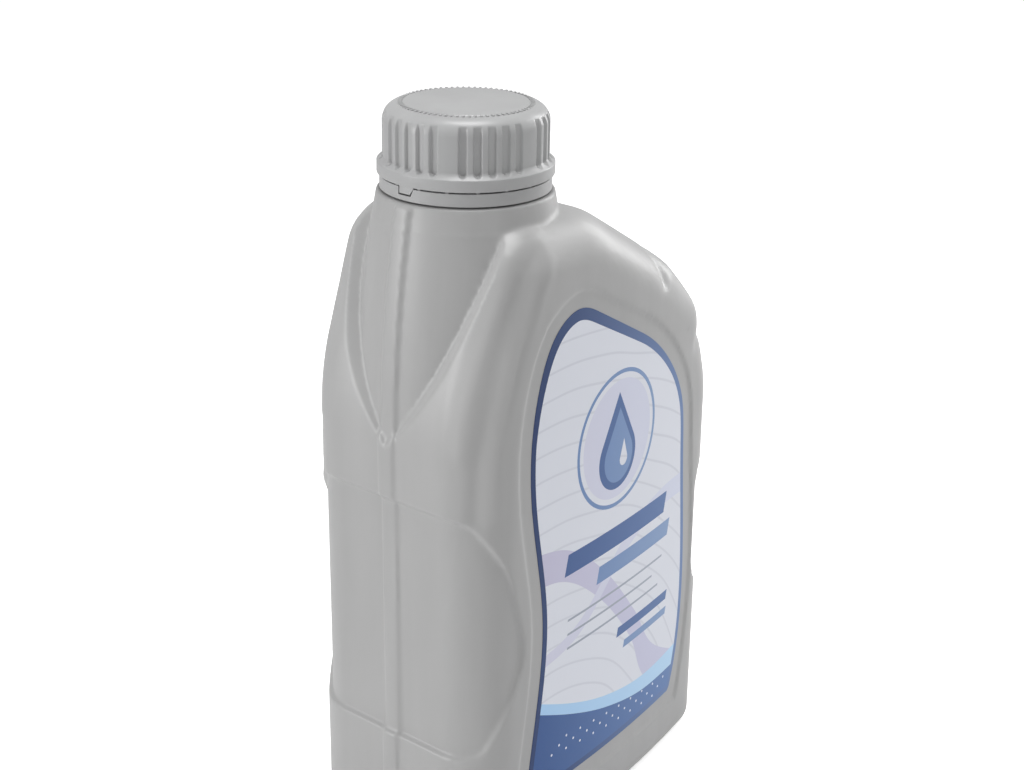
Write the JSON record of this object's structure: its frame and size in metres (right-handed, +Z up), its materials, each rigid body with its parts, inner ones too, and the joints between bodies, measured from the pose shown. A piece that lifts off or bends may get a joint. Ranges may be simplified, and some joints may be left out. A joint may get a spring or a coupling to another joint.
{
  "type": "motor oil bottle",
  "caption": "Flat blow-moulded oil bottle with its neck at one end, grip recesses, a ribbed screw cap with tamper band, and a front label.",
  "frame": {"origin": "on the base plane, straight below the neck's axis", "axes": "+Z up along the neck, +X from the neck end to the far end, -Y towards the front label"},
  "size_m": [0.1241, 0.0674, 0.2145],
  "materials": {
    "bottle_plastic": "pearl grey polyethylene, satin",
    "cap_plastic": "pearl grey polypropylene, satin",
    "liner_foam": "white foamed plastic",
    "label_film": "printed plastic film",
    "oil": "amber oil"
  },
  "bodies": {
    "bottle": {"bottle": "bottle_plastic", "front_label": "label_film", "oil": "oil"},
    "tamper_band": {"tamper_band": "cap_plastic"},
    "cap": {"cap": "cap_plastic", "cap_liner": "liner_foam"}
  },
  "joints": [
    {"name": "cap_turn", "type": "hinge", "parent": "bottle", "child": "tamper_band", "pos_m": [0, 0, 0.2], "axis": [0, 0, 1], "range_deg": [0, 2160]},
    {"name": "cap_lift", "type": "slide", "parent": "tamper_band", "child": "cap", "axis": [0, 0, 1], "range_m": [0, 0.0241]}
  ],
  "couplings": [
    {"joint": "cap_lift", "follows": "cap_turn", "m_per_rad": 0.00063662}
  ]
}
